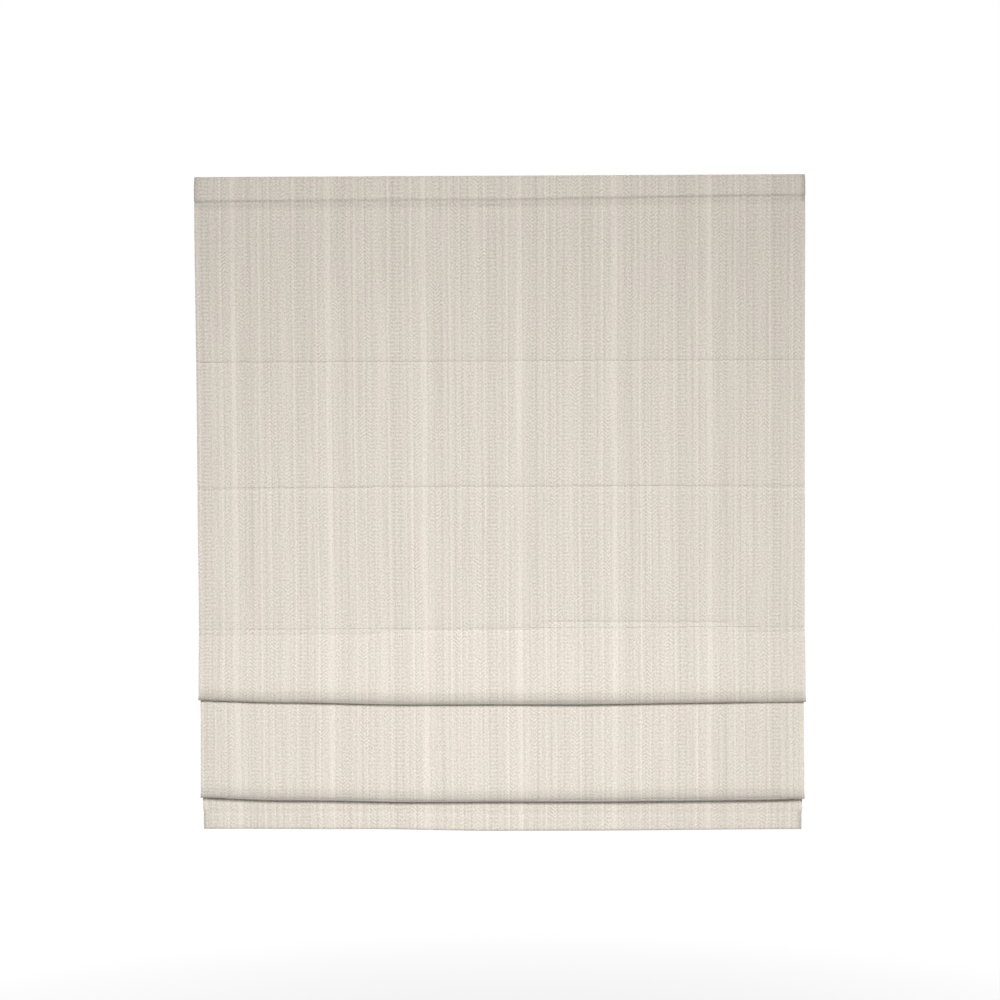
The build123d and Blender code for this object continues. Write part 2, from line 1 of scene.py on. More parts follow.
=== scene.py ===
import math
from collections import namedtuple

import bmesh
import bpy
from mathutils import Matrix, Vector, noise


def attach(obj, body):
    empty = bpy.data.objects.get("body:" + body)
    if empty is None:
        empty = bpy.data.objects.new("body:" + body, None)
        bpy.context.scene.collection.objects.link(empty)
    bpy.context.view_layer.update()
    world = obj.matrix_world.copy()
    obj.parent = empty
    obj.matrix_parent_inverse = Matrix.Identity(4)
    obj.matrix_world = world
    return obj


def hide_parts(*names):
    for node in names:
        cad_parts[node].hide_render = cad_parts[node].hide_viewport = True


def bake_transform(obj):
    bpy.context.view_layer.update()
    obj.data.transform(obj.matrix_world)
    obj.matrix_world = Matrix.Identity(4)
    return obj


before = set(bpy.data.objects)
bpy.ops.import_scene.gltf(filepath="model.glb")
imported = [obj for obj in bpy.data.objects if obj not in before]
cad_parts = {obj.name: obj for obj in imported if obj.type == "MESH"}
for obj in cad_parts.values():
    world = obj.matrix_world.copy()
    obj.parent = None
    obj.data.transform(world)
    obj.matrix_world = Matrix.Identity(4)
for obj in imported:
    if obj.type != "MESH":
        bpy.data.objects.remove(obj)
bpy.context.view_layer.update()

# %% [markdown]
# # A lined roman blind, seen from the room and from the window
#
# A roman blind is one flat panel of cloth that folds up in wide pleats. The frame that was
# just loaded holds the CAD model: a steel headrail, rods, rings, cords and plain stand-ins
# for the cloth. This lesson keeps the hardware, gives it its finishes, and hangs real cloth
# in place of the stand-ins.

mm = 0.001

# %% [markdown]
# ## Camera
#
# The picture was taken straight on, from far enough away that the blind's sides look
# parallel. A long lens at 2.8 m does that. The blind hangs a quarter of a degree out of
# true in the picture, and it is simpler to roll the camera than to bend the room.

# %% Camera
view_distance = 2.8
view_width = 1.378
view_aside = -0.0016
view_height = -0.4448
cloth_front = -0.015
sensor_width = 36
view_roll = Matrix.Rotation(math.radians(-0.28), 4, "Z")
level_view = Matrix.Rotation(math.radians(90), 4, "X")

camera_data = bpy.data.cameras.new("camera")
camera_data.sensor_width = sensor_width
camera_data.lens = sensor_width * view_distance / view_width
camera = bpy.data.objects.new("camera", camera_data)
camera.location = (view_aside, cloth_front - view_distance, view_height)
camera.rotation_euler = (level_view @ view_roll).to_euler()
bpy.context.scene.collection.objects.link(camera)
bpy.context.scene.camera = camera
bpy.context.scene.view_settings.view_transform = "Standard"
print("camera", round(camera_data.lens, 1), "mm lens")

# %% [markdown]
# ## Writing a finish
#
# A finish is a net of shader nodes. Adding and joining nodes takes many lines, so this
# small helper does it: a number is written on a socket, and another node's output is
# linked to it. The room's light and every material in the lesson are written with it.


# %% Node helpers
class Net:
    """A net of shader nodes that is being put together."""

    def __init__(self, tree):
        self.nodes = tree.nodes
        self.links = tree.links

    def join(self, value, socket):
        """Writes a number or colour on a socket, or links another node's output to it."""
        if isinstance(value, bpy.types.NodeSocket):
            self.links.new(value, socket)
        else:
            socket.default_value = value

    def add(self, kind, inputs=(), **settings):
        """A node, with its settings and its inputs by name or number."""
        made = self.nodes.new(kind)
        for setting, value in settings.items():
            setattr(made, setting, value)
        for socket, value in dict(inputs).items():
            self.join(value, made.inputs[socket])
        return made

    def math(self, operation, first, second=0.0, third=0.0):
        """One sum."""
        made = self.add("ShaderNodeMath", {0: first, 1: second, 2: third}, operation=operation)
        return made.outputs[0]

    def remap(self, value, low, high, new_low, new_high):
        """Moves a number from one range to another, and stops at its ends."""
        limits = {"From Min": low, "From Max": high, "To Min": new_low, "To Max": new_high}
        return self.add("ShaderNodeMapRange", {"Value": value, **limits}).outputs[0]

    def seen_straight(self):
        """1 for a ray from the camera or by way of a shiny or clear surface, otherwise 0."""
        rays = self.add("ShaderNodeLightPath").outputs
        straight = self.math("MAXIMUM", rays["Is Camera Ray"], rays["Is Glossy Ray"])
        return self.math("MAXIMUM", straight, rays["Is Transmission Ray"])

    def choose(self, factor, first, second, outlet):
        """Mixes two shaders and sends the result to the net's outlet."""
        mixed = self.add("ShaderNodeMixShader", {0: factor, 1: first, 2: second})
        self.join(mixed.outputs[0], self.nodes[outlet].inputs["Surface"])


class Finish(Net):
    """A material that is being put together."""

    def __init__(self, name):
        self.material = bpy.data.materials.new(name)
        self.material.use_nodes = True
        super().__init__(self.material.node_tree)
        self.shader = self.nodes["Principled BSDF"]

    def place(self):
        """Where a point is on its piece, which stays the same when the piece moves."""
        return self.add("ShaderNodeTexCoord").outputs["Object"]

    def cloth_map(self):
        """Where a point is on the cut cloth, in metres, with its two parts."""
        whole = self.add("ShaderNodeUVMap", uv_map="cloth").outputs[0]
        parts = self.add("ShaderNodeSeparateXYZ", {0: whole}).outputs
        return whole, parts[0], parts[1]

    def wave(self, along, length, shift=0.0):
        """A sine from -1 to 1 that repeats over a length."""
        turns = self.math("MULTIPLY_ADD", along, math.tau / length, shift)
        return self.math("SINE", turns)

    def noise(self, vector, scale, detail=2.0, stretch=(1, 1, 1), roughness=0.5):
        """Soft random blotches from 0 to 1, stretched along the axes."""
        mapped = self.add("ShaderNodeMapping", {"Vector": vector, "Scale": stretch})
        blotches = self.add(
            "ShaderNodeTexNoise",
            {"Vector": mapped.outputs[0], "Scale": scale, "Detail": detail, "Roughness": roughness},
        )
        return blotches.outputs[0]

    def ramp(self, factor, stops, interpolation="LINEAR"):
        """A ramp of grey levels from (position, level) stops."""
        made = self.add("ShaderNodeValToRGB", {0: factor})
        band = made.color_ramp
        band.interpolation = interpolation
        while len(band.elements) < len(stops):
            band.elements.new(0.5)
        for element, (position, level) in zip(band.elements, stops):
            element.position = position
            element.color = (level, level, level, 1)
        return made.outputs[0]

    def mix(self, factor, dark, light):
        """A colour between two."""
        made = self.add("ShaderNodeMix", data_type="RGBA", clamp_factor=True)
        self.join(factor, made.inputs["Factor"])
        self.join(dark, made.inputs["A"])
        self.join(light, made.inputs["B"])
        return made.outputs["Result"]

    def bump(self, height, depth, under=None, strength=1.0):
        """Tilts the surface as if the height were real, depth metres from low to high."""
        inputs = {"Height": height, "Distance": depth, "Strength": strength}
        if under:
            inputs["Normal"] = under
        return self.add("ShaderNodeBump", inputs).outputs[0]

    def finish(self, **inputs):
        """Writes the surface's own sockets and hands back the material."""
        for socket, value in inputs.items():
            self.join(value, self.shader.inputs[socket.replace("_", " ")])
        return self.material


def colour(red, green, blue):
    """A colour as it looks on screen, 0 to 255, as the linear numbers Blender works in."""
    linear = []
    for level in (red / 255, green / 255, blue / 255):
        linear.append(level / 12.92 if level < 0.04 else ((level + 0.055) / 1.055) ** 2.4)
    return linear + [1]


print("greige", [round(level, 3) for level in colour(222, 214, 204)])

# %% [markdown]
# ## Room, floor and light
#
# The blind hangs against plain white. Rays that go straight from the camera, or off metal,
# see a white world, and all others see a dimmer one, so the background is white without
# flooding the cloth with light. The floor is far below and keeps the blind's soft shadow.
#
# In the picture the blind is darkest under its header and gets brighter on the way down,
# and each pleat casts a short shadow. One soft box does both: it stands in front, a little
# higher than the blind, and its narrowed beam is aimed below the hem, so the top only gets
# the beam's edge. Two more light the back, which the picture doesn't show.

# %% World
white = (1, 1, 1, 1)
world = bpy.data.worlds.new("studio")
bpy.context.scene.world = world
world.use_nodes = True
sky = Net(world.node_tree)
direction = sky.add("ShaderNodeTexCoord").outputs["Generated"]
upward = sky.add("ShaderNodeSeparateXYZ", {0: direction}).outputs["Z"]
overhead = sky.remap(upward, -0.6, 0.8, 0.45, 1.0)
ambient = sky.nodes["Background"]
sky.join(overhead, ambient.inputs["Color"])
sky.join(0.2, ambient.inputs["Strength"])
backdrop = sky.add("ShaderNodeBackground", {"Color": white, "Strength": 1.0})
sky.choose(sky.seen_straight(), ambient.outputs[0], backdrop.outputs[0], "World Output")
print("world", len(sky.nodes), "nodes")

# %% Floor
floor_z = -1.36
floor_radius = 9.0
floor_bm = bmesh.new()
bmesh.ops.create_circle(floor_bm, cap_ends=True, segments=96, radius=floor_radius)
bmesh.ops.translate(floor_bm, vec=(0, 0, floor_z), verts=floor_bm.verts)
floor_mesh = bpy.data.meshes.new("floor")
floor_bm.to_mesh(floor_mesh)
floor_bm.free()
floor = bpy.data.objects.new("floor", floor_mesh)
bpy.context.scene.collection.objects.link(floor)

pale = Finish("pale_floor")
level_place = pale.add("ShaderNodeVectorMath", {0: pale.place(), 1: (1, 1, 0)}, operation="MULTIPLY")
away = pale.add("ShaderNodeVectorMath", {0: level_place.outputs[0]}, operation="LENGTH")
fade = pale.remap(away.outputs["Value"], 0.6, 1.5, 0.75, 1.0)
share = pale.math("MULTIPLY", pale.seen_straight(), fade)
glow = pale.add("ShaderNodeEmission", {"Color": white, "Strength": 1.0})
floor_paint = pale.finish(Base_Color=(0.4, 0.4, 0.4, 1), Roughness=0.9)
pale.choose(share, pale.shader.outputs[0], glow.outputs[0], "Material Output")
floor_mesh.materials.append(floor_paint)
print("floor at", floor_z)


# %% Lamps
def soft_lamp(name, place, aim, size, power, spread=180):
    """A square soft box that points at a spot, with a grid that narrows its beam."""
    data = bpy.data.lights.new(name, "AREA")
    data.shape = "SQUARE"
    data.size = size
    data.spread = math.radians(spread)
    data.energy = power
    lamp = bpy.data.objects.new(name, data)
    lamp.location = place
    lamp.rotation_euler = (Vector(aim) - Vector(place)).to_track_quat("-Z", "Y").to_euler()
    lamp.visible_camera = False
    bpy.context.scene.collection.objects.link(lamp)


middle = (0, 0, -0.5)
below_hem = (0.01, 0, -1.1)
soft_lamp("key", (-0.12, -2.9, 0.56), below_hem, size=1.0, power=16.8, spread=72)
soft_lamp("back_left", (-1.8, 2.4, 0.9), middle, size=1.6, power=62)
soft_lamp("back_right", (2.2, 1.8, 0.5), middle, size=1.6, power=30)
print("lamps", [light.name for light in bpy.data.lights])

# %% [markdown]
# ## The woven face fabric
#
# The cloth is a pale greige weave with a stripe that repeats every 131 mm: a cream band,
# bright beaded threads and darker columns of herringbone and short dashes. Cloth has to
# carry its pattern round every fold, so the pattern reads the cloth's own map, in real
# metres across and along the cut length. Ramps say what each column of the repeat holds.

# %% Face weave
stripe_repeat = 131 * mm
band_middle = 24.8 * mm
hatch_pitch = 5.2 * mm
hatch_width = 7.4 * mm
dash_width = 10.4 * mm
bead_pitch = 4.1 * mm
thread_pitch = 1.3 * mm
line_pitch = stripe_repeat / 14
wander_width = 5 * mm

column_tones = [
    (0.000, 0.88), (0.034, 0.84), (0.050, 0.54), (0.130, 0.50), (0.145, 0.38), (0.200, 0.39),
    (0.215, 0.50), (0.280, 0.53), (0.300, 0.48), (0.390, 0.46), (0.420, 0.42), (0.440, 0.48),
    (0.540, 0.53), (0.640, 0.52), (0.670, 0.38), (0.745, 0.39), (0.770, 0.49), (0.860, 0.50),
    (0.880, 0.58), (0.900, 0.50), (0.960, 0.55), (0.970, 0.84),
]
bright_threads = [
    (0.000, 0), (0.270, 1), (0.288, 0), (0.372, 1), (0.388, 0), (0.530, 1), (0.552, 0),
    (0.632, 1), (0.648, 0), (0.866, 1), (0.884, 0),
]
herringbone_columns = [
    (0.000, 0.15), (0.045, 0.85), (0.210, 0.3), (0.300, 1.0), (0.440, 0.35), (0.540, 0.9),
    (0.665, 0.0), (0.765, 0.4), (0.860, 1.0), (0.960, 0.15),
]
dash_columns = [
    (0.000, 0.1), (0.130, 0.4), (0.210, 0.1), (0.430, 0.7), (0.520, 0.1), (0.665, 1.0),
    (0.765, 0.1),
]

weave = Finish("face_weave")
cloth_map, across, along = weave.cloth_map()
wander = weave.noise(cloth_map, 1.0, 1.0, (5.0, 2.2, 1))
across = weave.math("MULTIPLY_ADD", weave.math("SUBTRACT", wander, 0.5), wander_width, across)
shifted = weave.math("SUBTRACT", across, band_middle)
repeat = weave.math("FRACT", weave.math("DIVIDE", shifted, stripe_repeat))
tone = weave.ramp(repeat, column_tones)
bright = weave.ramp(repeat, bright_threads, "CONSTANT")
herringbone = weave.ramp(repeat, herringbone_columns, "CONSTANT")
dashed = weave.ramp(repeat, dash_columns, "CONSTANT")

uneven = weave.noise(cloth_map, 1.0, 2.0, (95, 42, 1))
hatch_shift = weave.math("MULTIPLY", uneven, 8.0)
patches = weave.noise(cloth_map, 1.0, 1.0, (48, 17, 1))
patches = weave.remap(patches, 0.38, 0.68, 0.1, 1.5)
slant = weave.math("MULTIPLY", weave.math("PINGPONG", across, hatch_width), 0.95)
hatch = weave.wave(weave.math("ADD", along, slant), hatch_pitch, hatch_shift)
brick_row = weave.math("FLOOR", weave.math("DIVIDE", across, dash_width / 2))
dash = weave.wave(along, hatch_pitch, weave.math("MULTIPLY", brick_row, math.pi))
dash = weave.math("MULTIPLY", dash, weave.wave(across, dash_width))
beads = weave.math("MULTIPLY_ADD", weave.wave(along, bead_pitch, hatch_shift), 0.35, 0.65)
fine_lines = weave.noise(cloth_map, 1.0, 3.0, (430, 5, 1), 0.6)
broken = weave.noise(cloth_map, 1.0, 2.0, (400, 330, 1), 0.6)
thin_warp = weave.math("MULTIPLY_ADD", weave.wave(across, line_pitch), 0.5, 0.5)
thin_warp = weave.math("POWER", thin_warp, 5.0)
grit = weave.noise(cloth_map, 1.0, 0.0, (760, 700, 1))
slubs = weave.noise(cloth_map, 1.0, 2.0, (26, 3.0, 1))
print("weave repeat", stripe_repeat)

# %% [markdown]
# Every part of the pattern is a number, so the cloth's level between its dark and its light
# yarn is a sum: each part is added with its own share. The level also raises the surface a
# little, together with the crossing of the single threads.

# %% Face weave, colours and relief
herringbone = weave.math("MULTIPLY", herringbone, patches)
parts_of_level = [
    (weave.math("SUBTRACT", tone, 0.5), 0.58),
    (weave.math("MULTIPLY", hatch, herringbone), 0.22),
    (weave.math("MULTIPLY", dash, dashed), 0.24),
    (weave.math("MULTIPLY", beads, bright), 0.26),
    (thin_warp, -0.16),
    (weave.math("SUBTRACT", fine_lines, 0.5), 0.80),
    (weave.math("SUBTRACT", broken, 0.5), 1.8),
    (weave.math("SUBTRACT", grit, 0.5), 0.9),
    (weave.math("SUBTRACT", slubs, 0.5), 0.16),
]
level = 0.50
for part, its_share in parts_of_level:
    level = weave.math("MULTIPLY_ADD", part, its_share, level)
dye = weave.noise(cloth_map, 1.0, 2.0, (46, 15, 1))
dark_yarn = weave.mix(dye, colour(205, 192, 184), colour(199, 195, 182))
light_yarn = weave.mix(dye, colour(241, 230, 222), colour(236, 232, 217))
yarn = weave.mix(level, dark_yarn, light_yarn)

warp = weave.wave(across, thread_pitch)
weft = weave.wave(along, thread_pitch)
crossing = weave.math("MULTIPLY", warp, weft)
relief = weave.math("MULTIPLY_ADD", crossing, 0.25, level)
rough_cloth = weave.bump(relief, 0.35 * mm, strength=0.6)
face_weave = weave.finish(
    Base_Color=yarn, Roughness=0.88, Normal=rough_cloth, Specular_IOR_Level=0.2,
    Sheen_Weight=0.12, Sheen_Roughness=0.5,
)
print("face weave", len(weave.nodes), "nodes")

# %% [markdown]
# ## Lining, thread and cord
#
# The lining is a plain off-white cotton. Its threads cross one over one, a little uneven,
# with a thicker thread here and there. The sewing thread and the braided cord are so fine
# that a twist along their length is all that shows.

# %% Lining cloth
lining_pitch = 1.0 * mm
lining_weave = Finish("lining_cloth")
lining_map, lining_across, lining_along = lining_weave.cloth_map()
lining_warp = lining_weave.wave(lining_across, lining_pitch)
lining_weft = lining_weave.wave(lining_along, lining_pitch)
lining_cross = lining_weave.math("MULTIPLY", lining_warp, lining_weft)
thick_warp = lining_weave.noise(lining_map, 1.0, 2.0, (520, 14, 1))
thick_weft = lining_weave.noise(lining_map, 1.0, 2.0, (14, 520, 1))
cloudy = lining_weave.noise(lining_map, 1.0, 3.0, (7, 7, 1))
threads = lining_weave.math("MULTIPLY", lining_weave.math("ADD", thick_warp, thick_weft), 0.5)
threads = lining_weave.math("MULTIPLY_ADD", lining_cross, 0.06, threads)
thread_tint = lining_weave.math("MULTIPLY", threads, 0.6)
tint = lining_weave.math("MULTIPLY_ADD", cloudy, 0.5, thread_tint)
lining_colour = lining_weave.mix(tint, colour(226, 222, 213), colour(242, 240, 234))
lining_relief = lining_weave.bump(threads, 0.25 * mm, strength=0.6)
lining_cloth = lining_weave.finish(
    Base_Color=lining_colour, Roughness=0.85, Normal=lining_relief, Specular_IOR_Level=0.2,
    Sheen_Weight=0.08, Sheen_Roughness=0.5,
)
print("lining", len(lining_weave.nodes), "nodes")


# %% Thread and cord
def twisted(name, dark, light, pitch):
    """A yarn: fine slanting plies, read from where the piece is in space."""
    made = Finish(name)
    place = made.place()
    parts = made.add("ShaderNodeSeparateXYZ", {0: place}).outputs
    first = made.wave(made.math("ADD", parts[0], parts[2]), pitch)
    second = made.wave(made.math("SUBTRACT", parts[1], parts[2]), pitch)
    plies = made.math("ADD", first, second)
    fuzz = made.noise(place, 900, 2.0)
    height = made.math("MULTIPLY_ADD", plies, 0.2, fuzz)
    return made.finish(
        Base_Color=made.mix(height, dark, light), Roughness=0.75, Specular_IOR_Level=0.3,
        Normal=made.bump(height, 0.15 * mm, strength=0.7), Sheen_Weight=0.1,
    )


sewing_thread = twisted("sewing_thread", colour(196, 187, 174), colour(226, 219, 208), 0.6 * mm)
lining_thread = twisted("lining_thread", colour(214, 210, 200), colour(240, 238, 230), 0.6 * mm)
cord_braid = twisted("cord_braid", colour(216, 215, 208), colour(244, 243, 238), 0.9 * mm)
print("threads ready")

# %% [markdown]
# ## Metal, enamel and moulded parts
#
# Enamel on rolled steel is smooth with the faintest orange peel. Zinc plate is cloudy and
# slightly brushed. The bar is drawn aluminium, so its streaks run along its length, and
# moulded parts have a fine spark texture. Each reads Object coordinates, which stay with
# the piece when it moves.


# %% Hard finishes
def hard_finish(name, dark, light, rough, grain, depth, metal=0.0, stretch=(1, 1, 1), coat=0.0):
    """A painted, plated or moulded surface with a fine grain and cloudy colour."""
    made = Finish(name)
    place = made.place()
    cloud = made.noise(place, 22, 3.0, stretch)
    fine = made.noise(place, grain, 3.0, stretch, 0.6)
    tint = made.math("MULTIPLY_ADD", fine, 0.45, made.math("MULTIPLY", cloud, 0.6))
    return made.finish(
        Base_Color=made.mix(tint, colour(*dark), colour(*light)), Metallic=metal,
        Roughness=made.remap(tint, 0.3, 0.75, rough * 1.2, rough * 0.85),
        Normal=made.bump(fine, depth * mm, strength=0.5), Coat_Weight=coat, Coat_Roughness=0.2,
    )


rail_enamel = hard_finish("rail_enamel", (228, 228, 224), (240, 240, 237), 0.32, 500, 0.05, coat=0.25)
zinc_steel = hard_finish("zinc_steel", (166, 169, 172), (208, 210, 211), 0.34, 380, 0.05, metal=1.0)
bar_aluminium = hard_finish(
    "bar_aluminium", (196, 198, 200), (220, 221, 222), 0.36, 420, 0.04, metal=1.0, stretch=(0.05, 1, 1)
)
white_plastic = hard_finish("white_plastic", (230, 230, 226), (242, 242, 239), 0.42, 1400, 0.05)
motor_plastic = hard_finish("motor_plastic", (214, 214, 209), (229, 229, 225), 0.48, 1100, 0.08)
glass_fibre = hard_finish(
    "glass_fibre", (222, 218, 203), (238, 235, 224), 0.40, 700, 0.05, stretch=(0.04, 1, 1)
)
print("hard finishes ready")

# %% Milky plastic
milky = Finish("clear_plastic")
milk_place = milky.place()
milk_cloud = milky.noise(milk_place, 120, 3.0)
milk_colour = milky.mix(milk_cloud, colour(232, 233, 230), colour(246, 246, 244))
milk_skin = milky.bump(milky.noise(milk_place, 700, 2.0), 0.03 * mm, strength=0.4)
clear_plastic = milky.finish(
    Base_Color=milk_colour, Roughness=0.18, Normal=milk_skin, Transmission_Weight=0.25, IOR=1.49
)
print("milky plastic", len(milky.nodes), "nodes")


# %% Tapes
def tape_finish(name, dark, light, spacing, depth):
    """A touch tape: rows of tiny hooks or loops over a woven ground."""
    made = Finish(name)
    place = made.place()
    cells = made.add("ShaderNodeTexVoronoi", {"Vector": place, "Scale": 1 / spacing})
    pile = made.math("SUBTRACT", 1.0, cells.outputs["Distance"])
    fluff = made.noise(place, 1500, 3.0)
    height = made.math("MULTIPLY_ADD", fluff, 0.4, made.math("MULTIPLY", pile, 0.7))
    return made.finish(
        Base_Color=made.mix(height, dark, light), Roughness=0.8, Specular_IOR_Level=0.3,
        Normal=made.bump(height, depth, strength=0.8), Sheen_Weight=0.2,
    )


hook_tape = tape_finish("hook_tape", colour(208, 208, 205), colour(242, 242, 240), 1.3 * mm, 0.5 * mm)
loop_tape = tape_finish("loop_tape", colour(214, 213, 209), colour(244, 243, 240), 0.9 * mm, 0.7 * mm)
print("tapes ready")

# %% [markdown]
# ## Giving the hardware its finishes
#
# The CAD shapes of the hard parts are right as they are, so they stay, and only their
# material slots change. A list by node name keeps it plain which part gets which finish.

# %% Paint the hardware
paint = {
    "headrail": rail_enamel,
    "hook_tape": hook_tape,
    "loop_tape": loop_tape,
    "motor_case": motor_plastic,
    "motor_cover": motor_plastic,
    "motor_screws": zinc_steel,
    "bottom_bar": bar_aluminium,
    "cord_orbs": clear_plastic,
}
for side in ("left", "right"):
    paint["rail_end_cap_" + side] = white_plastic
    paint["bracket_" + side] = zinc_steel
    paint["cam_lever_" + side] = white_plastic
    paint["cam_rivet_" + side] = zinc_steel
    paint["bar_cap_" + side] = white_plastic
for side in ("left", "center", "right"):
    paint["cord_guide_" + side] = white_plastic
for number in range(1, 6):
    paint[f"rib_rod_{number}"] = glass_fibre
    paint[f"rib_rings_{number}"] = clear_plastic
for node, material in paint.items():
    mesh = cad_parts[node].data
    mesh.materials.clear()
    mesh.materials.append(material)
print("painted", len(paint), "CAD nodes")

# %% [markdown]
# ## The line that the cloth hangs along
#
# Seen from the side, one length of cloth turns over the headrail's front, drops past three
# ribs, doubles back under itself twice and ends round the bottom bar. It is easiest to
# write that side view as a line with corners, each with how far its rounding reaches before
# and after it. The soft lips of the two pleats reach further up the front than inside.
# Named spots on the line say where the cloth is cut into pieces that move with the ribs.

# %% Side view of the cloth
Corner = namedtuple("Corner", "y z before after spot", defaults=(0, 0, None))
cloth_corners = [
    Corner(-26.9, -32, spot="top"),
    Corner(-26.9, -0.6, 0.57, 0.57),
    Corner(-28.1, -0.6, 0.57, 0.57),
    Corner(-28.1, -36, 1, 1, "header"),
    Corner(-15.1, -253.5, 1, 1, "rib_1"),
    Corner(-13.1, -426.5, 1, 1, "rib_2"),
    Corner(-10.6, -621.5, 1, 1, "rib_3"),
    Corner(-25.6, -706.0, 10, 4),
    Corner(-22.6, -716.6, 5, 3.5),
    Corner(-18.6, -721.6, 3, 2.5),
    Corner(-15.6, -723.4, 1.6, 0.8),
    Corner(-14.3, -723.4, 0, 0, "lip_a"),
    Corner(-11.63, -723.4, 2.5, 6),
    Corner(-11.63, -704.75, 1.4, 1.4),
    Corner(-10.08, -704.75, 0, 0, "crown_a"),
    Corner(-8.53, -704.75, 1.4, 1.4),
    Corner(-9.83, -720.75, 4, 4),
    Corner(-19.2, -840.6, 10, 4),
    Corner(-16.4, -851.2, 5, 3.5),
    Corner(-12.9, -856.4, 3, 2.5),
    Corner(-10.1, -858.2, 1.6, 0.8),
    Corner(-8.8, -858.2, 0, 0, "lip_b"),
    Corner(-6.13, -858.2, 2.5, 6),
    Corner(-6.13, -720.75, 1.4, 1.4),
    Corner(-4.58, -720.75, 0, 0, "crown_b"),
    Corner(-3.03, -720.75, 1.4, 1.4),
    Corner(-1.63, -874, 2, 2, "hem_top"),
    Corner(-1.63, -899.6, 6.5, 2.3),
    Corner(3.37, -899.6, 2.3, 2.3),
    Corner(3.37, -878, spot="end"),
]


def round_corners(corners, steps=7):
    """The line with rounded corners as points, and how far along it each named spot is."""
    line = []
    named = {}
    places = [Vector((corner.y, corner.z)) * mm for corner in corners]
    for number, (corner, here) in enumerate(zip(corners, places)):
        if corner.before:
            start = here + (places[number - 1] - here).normalized() * corner.before * mm
            stop = here + (places[number + 1] - here).normalized() * corner.after * mm
            for step in range(steps + 1):
                t = step / steps
                line.append(start.lerp(here, t).lerp(here.lerp(stop, t), t))
                if step == steps // 2 and corner.spot:
                    named[corner.spot] = len(line) - 1
        else:
            line.append(here)
            if corner.spot:
                named[corner.spot] = len(line) - 1
    lengths = [0.0]
    for a, b in zip(line, line[1:]):
        lengths.append(lengths[-1] + (b - a).length)
    return line, lengths, {spot: lengths[index] for spot, index in named.items()}


cloth_line, line_lengths, spots = round_corners(cloth_corners)
print("cut length", round(line_lengths[-1], 3), "m")
print("spots", {name: round(value, 4) for name, value in spots.items()})

# %% [markdown]
# ## Rows along the cloth
#
# The grid of the cloth needs small steps where it bends or is stitched, and long ones where
# it hangs flat. A row keeps its place, how far along the cut cloth it is, and which way the
# window lies from it, so the lining can later be laid behind the face by the same rule.

# %% Rows
Row = namedtuple("Row", "y z along back_y back_z")
Stretch = namedtuple("Stretch", "middle reach step")
top_fold = spots["top"] + 31.4 * mm
header_stitch = spots["header"] - 4 * mm
hem_stitch = spots["hem_top"] + 2 * mm
small_crease = spots["header"] + 56 * mm
rib_spots = [spots["rib_1"], spots["rib_2"], spots["rib_3"]]
fine_stretches = [
    Stretch(top_fold, 12 * mm, 0.45 * mm),
    Stretch(header_stitch - 10 * mm, 28 * mm, 1.4 * mm),
    Stretch(small_crease, 9 * mm, 2 * mm),
    Stretch(hem_stitch, 8 * mm, 1.2 * mm),
    Stretch(spots["end"] - 26 * mm, 9 * mm, 0.8 * mm),
]
fine_stretches += [Stretch(spot, 14 * mm, 1.2 * mm) for spot in rib_spots]
fine_stretches += [Stretch(spots[lip], 24 * mm, 1.0 * mm) for lip in ("lip_a", "lip_b")]
fine_stretches += [Stretch(spots[crown], 5 * mm, 0.4 * mm) for crown in ("crown_a", "crown_b")]


def on_line(along):
    """The point at a distance along the cloth's line."""
    along = min(max(along, 0.0), line_lengths[-1])
    low, high = 0, len(line_lengths) - 1
    while high - low > 1:
        half = (low + high) // 2
        if line_lengths[half] <= along:
            low = half
        else:
            high = half
    share = (along - line_lengths[low]) / max(line_lengths[high] - line_lengths[low], 1e-9)
    return cloth_line[low].lerp(cloth_line[high], share)


def row_at(along):
    """One row of the cloth at any distance along it."""
    near = 0.3 * mm
    place = on_line(along)
    way = (on_line(along + near) - on_line(along - near)).normalized()
    return Row(place.x, place.y, along, -way.y, way.x)


def rows_between(start, stop, coarse=7 * mm):
    """Rows of the cloth from one distance to another, closer together where it bends."""
    distances = [start]
    while distances[-1] < stop:
        here = distances[-1]
        rules = [coarse]
        for fine in fine_stretches:
            first = fine.middle - fine.reach
            if abs(here - fine.middle) < fine.reach + 0.01 * mm:
                rules.append(fine.step)
            if first > here:
                rules.append(first - here)
        distances.append(here + max(min(rules), 0.2 * mm))
    distances[-1] = stop
    if len(distances) > 2 and distances[-1] - distances[-2] < 0.15 * mm:
        distances.pop(-2)
    return [row_at(distance) for distance in distances]


print("rows", len(rows_between(spots["top"], spots["end"])))

# %% [markdown]
# ## How real cloth strays from that line
#
# Perfectly flat cloth looks like card. Small errors bring it to life: a soft roll over the
# header, a dent along each stitch line, a few creases, slow waves in depth, pleat lips and
# a hem that sag towards the middle, and side edges that pull in towards the hem but flare
# at the ends of each pleat. They are functions of the place on the cloth, so the face, the
# lining and the stitches all share them.

# %% Straying
half_width = 419 * mm


def smooth(low, high, value):
    """0 below low, 1 above high, and a soft step between."""
    t = min(max((value - low) / (high - low), 0.0), 1.0)
    return t * t * (3 - 2 * t)


def bell(distance, reach):
    """1 at no distance, falling away softly over a reach."""
    return math.exp(-((distance / reach) ** 2))


def between(keys, value):
    """A value from a short list of (place, value) keys, joined by soft steps."""
    if value <= keys[0][0]:
        return keys[0][1]
    for (a, first), (b, second) in zip(keys, keys[1:]):
        if value <= b:
            return first + (second - first) * smooth(a, b, value)
    return keys[-1][1]


